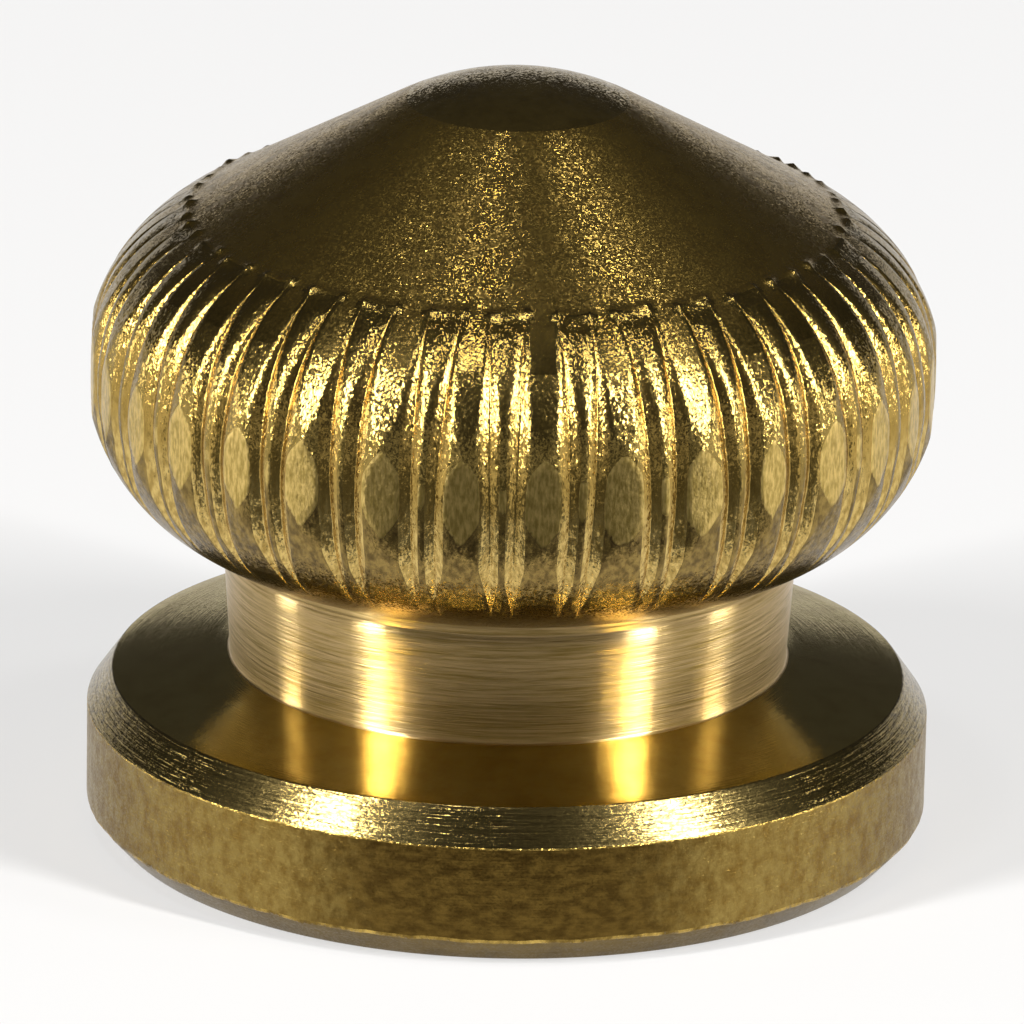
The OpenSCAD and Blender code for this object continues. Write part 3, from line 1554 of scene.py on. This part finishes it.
        # Matt paper scatters the light evenly, so the floor shows soft shadows and no gloss.
        material, tree = new_material("paper_matt_white")
        path = add_node(tree, "ShaderNodeLightPath")
        seen = add_node(
            tree,
            "ShaderNodeMath",
            {"operation": "MAXIMUM"},
            {0: path.outputs["Is Camera Ray"], 1: path.outputs["Is Glossy Ray"]},
        )
        seen = add_node(
            tree,
            "ShaderNodeMath",
            {"operation": "MAXIMUM"},
            {0: seen.outputs[0], 1: path.outputs["Is Transmission Ray"]},
        )
        strength = add_node(
            tree, "ShaderNodeMath", {"operation": "MULTIPLY"}, {0: seen.outputs[0], 1: self.glow}
        )
        glow = add_node(
            tree, "ShaderNodeEmission", {}, {"Color": linear("#FFFFFF"), "Strength": strength.outputs[0]}
        )
        matt = add_node(tree, "ShaderNodeBsdfDiffuse", {}, {"Color": linear(self.paper)})
        paper = add_node(tree, "ShaderNodeAddShader", {}, {0: matt.outputs[0], 1: glow.outputs[0]})
        side = add_node(
            tree,
            "ShaderNodeMixShader",
            {},
            {
                0: add_node(tree, "ShaderNodeNewGeometry").outputs["Backfacing"],
                1: paper.outputs[0],
                2: add_node(tree, "ShaderNodeBsdfTransparent").outputs[0],
            },
        )
        add_node(tree, "ShaderNodeOutputMaterial", {}, {"Surface": side.outputs[0]})
        return material

    def _felt(self) -> bpy.types.Material:
        """Build the dark felt of the cloth in front of the knob, with soft edges.

        Returns:
            The material, clear where there is no cloth.
        """
        # Felt swallows light, so the metal that faces it turns dark.
        material, tree = new_material("felt_dark_grey")
        place = add_node(tree, "ShaderNodeTexCoord").outputs["Object"]
        outwards = add_node(tree, "ShaderNodeVectorMath", {"operation": "NORMALIZE"}, {0: place})
        front = add_node(
            tree,
            "ShaderNodeVectorMath",
            {"operation": "DOT_PRODUCT"},
            {0: outwards.outputs[0], 1: FRONT},
        )
        near, full = (-distance * MM for distance in self.cloth_edge)
        inside, outside = (math.cos(math.radians(angle)) for angle in self.cloth_spread)
        depth = add_node(tree, "ShaderNodeSeparateXYZ", {}, {0: place}).outputs["Y"]
        edges = [
            add_node(
                tree,
                "ShaderNodeMapRange",
                {"interpolation_type": "SMOOTHSTEP"},
                {"Value": value, "From Min": first, "From Max": last},
            ).outputs[0]
            for value, first, last in ((depth, full, near), (front.outputs["Value"], inside, outside))
        ]
        clear = add_node(tree, "ShaderNodeMath", {"operation": "MAXIMUM"}, {0: edges[0], 1: edges[1]})
        side = add_node(
            tree,
            "ShaderNodeMixShader",
            {},
            {
                0: clear.outputs[0],
                1: add_node(tree, "ShaderNodeBsdfDiffuse", {}, {"Color": linear(self.felt)}).outputs[0],
                2: add_node(tree, "ShaderNodeBsdfTransparent").outputs[0],
            },
        )
        add_node(tree, "ShaderNodeOutputMaterial", {}, {"Surface": side.outputs[0]})
        return material

    def _room(self) -> None:
        """Fill the room with dim, even light, brighter under the floor."""
        world = bpy.data.worlds.new("dim_room")
        world.use_nodes = True
        tree = world.node_tree
        tree.nodes.clear()
        towards = add_node(tree, "ShaderNodeTexCoord").outputs["Generated"]
        strength = add_node(
            tree,
            "ShaderNodeMapRange",
            {},
            {
                "Value": add_node(tree, "ShaderNodeSeparateXYZ", {}, {0: towards}).outputs["Z"],
                "From Min": self.horizon[0],
                "From Max": self.horizon[1],
                "To Min": self.cellar,
                "To Max": self.sky,
            },
        ).outputs[0]
        dim = add_node(
            tree, "ShaderNodeBackground", {}, {"Color": linear("#FFFFFF"), "Strength": strength}
        )
        add_node(tree, "ShaderNodeOutputWorld", {}, {"Surface": dim.outputs[0]})
        bpy.context.scene.world = world

    def _camera(self, target: Vector) -> None:
        """Place the camera at the picture's angle.

        Args:
            target: Point that the camera looks at, in metres.
        """
        tilt, roll = math.radians(self.elevation), math.radians(self.roll)
        back = Vector((0, -math.cos(tilt), math.sin(tilt)))
        level, upright = Vector((1, 0, 0)), Vector((0, math.sin(tilt), math.cos(tilt)))
        right = level * math.cos(roll) + upright * math.sin(roll)
        up = upright * math.cos(roll) - level * math.sin(roll)
        data = bpy.data.cameras.new("camera")
        data.lens, data.sensor_width = self.lens, self.sensor
        data.clip_start, data.clip_end = (distance * MM for distance in self.sight)
        camera = bpy.data.objects.new("camera", data)
        place = target + back * self.distance * MM + right * self.sideways * MM
        camera.matrix_world = Matrix.Translation(place) @ Matrix((right, up, back)).transposed().to_4x4()
        bpy.context.scene.collection.objects.link(camera)
        bpy.context.scene.camera = camera


def main() -> None:
    """Build the knob and the studio."""
    logging.basicConfig(level=logging.INFO, format="%(message)s")
    knob = Knob.from_frame()
    piece = knob.build()
    knob.dress(piece)
    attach(piece, Knob.BODY)
    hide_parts(Knob.NODE)
    piece.data.calc_loop_triangles()
    LOG.info("%s: %d triangles, one closed mesh", piece.name, len(piece.data.loop_triangles))
    Studio().build()
    LOG.info("studio: floor, cloth, lamps and camera")


if __name__ == "__main__":
    main()
